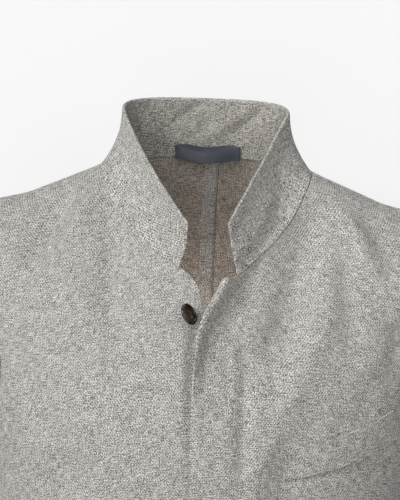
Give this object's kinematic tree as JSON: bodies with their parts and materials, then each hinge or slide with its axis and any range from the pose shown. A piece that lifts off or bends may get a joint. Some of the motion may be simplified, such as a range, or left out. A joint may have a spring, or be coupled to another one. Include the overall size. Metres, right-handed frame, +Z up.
{
  "type": "stand collar jacket",
  "caption": "Men's unlined wool twill jacket with a stand collar open in a V, covered front, chest welt pocket and two-piece sleeves, in worn shape.",
  "frame": {"origin": "the nape: centre of the back neck seam, where the jacket rests on the wearer", "axes": "+Z up along the wearer's back, the front faces -Y, +X is the wearer's left"},
  "size_m": [0.6498, 0.2745, 0.7841],
  "materials": {
    "twill": "light grey melange wool twill",
    "satin": "dark navy grey satin ribbon",
    "horn": "polished dark brown horn"
  },
  "bodies": {
    "root": {"front_left": "twill", "front_right": "twill", "back_left": "twill", "back_right": "twill", "sleeve_left_top": "twill", "sleeve_left_under": "twill", "sleeve_right_top": "twill", "sleeve_right_under": "twill", "collar": "twill", "collar_facing": "twill", "neck_tape": "twill", "hanger_loop": "satin", "chest_pocket_welt": "twill", "button_top": "horn", "button_2": "horn", "button_3": "horn", "button_4": "horn", "button_5": "horn"}
  },
  "joints": []
}
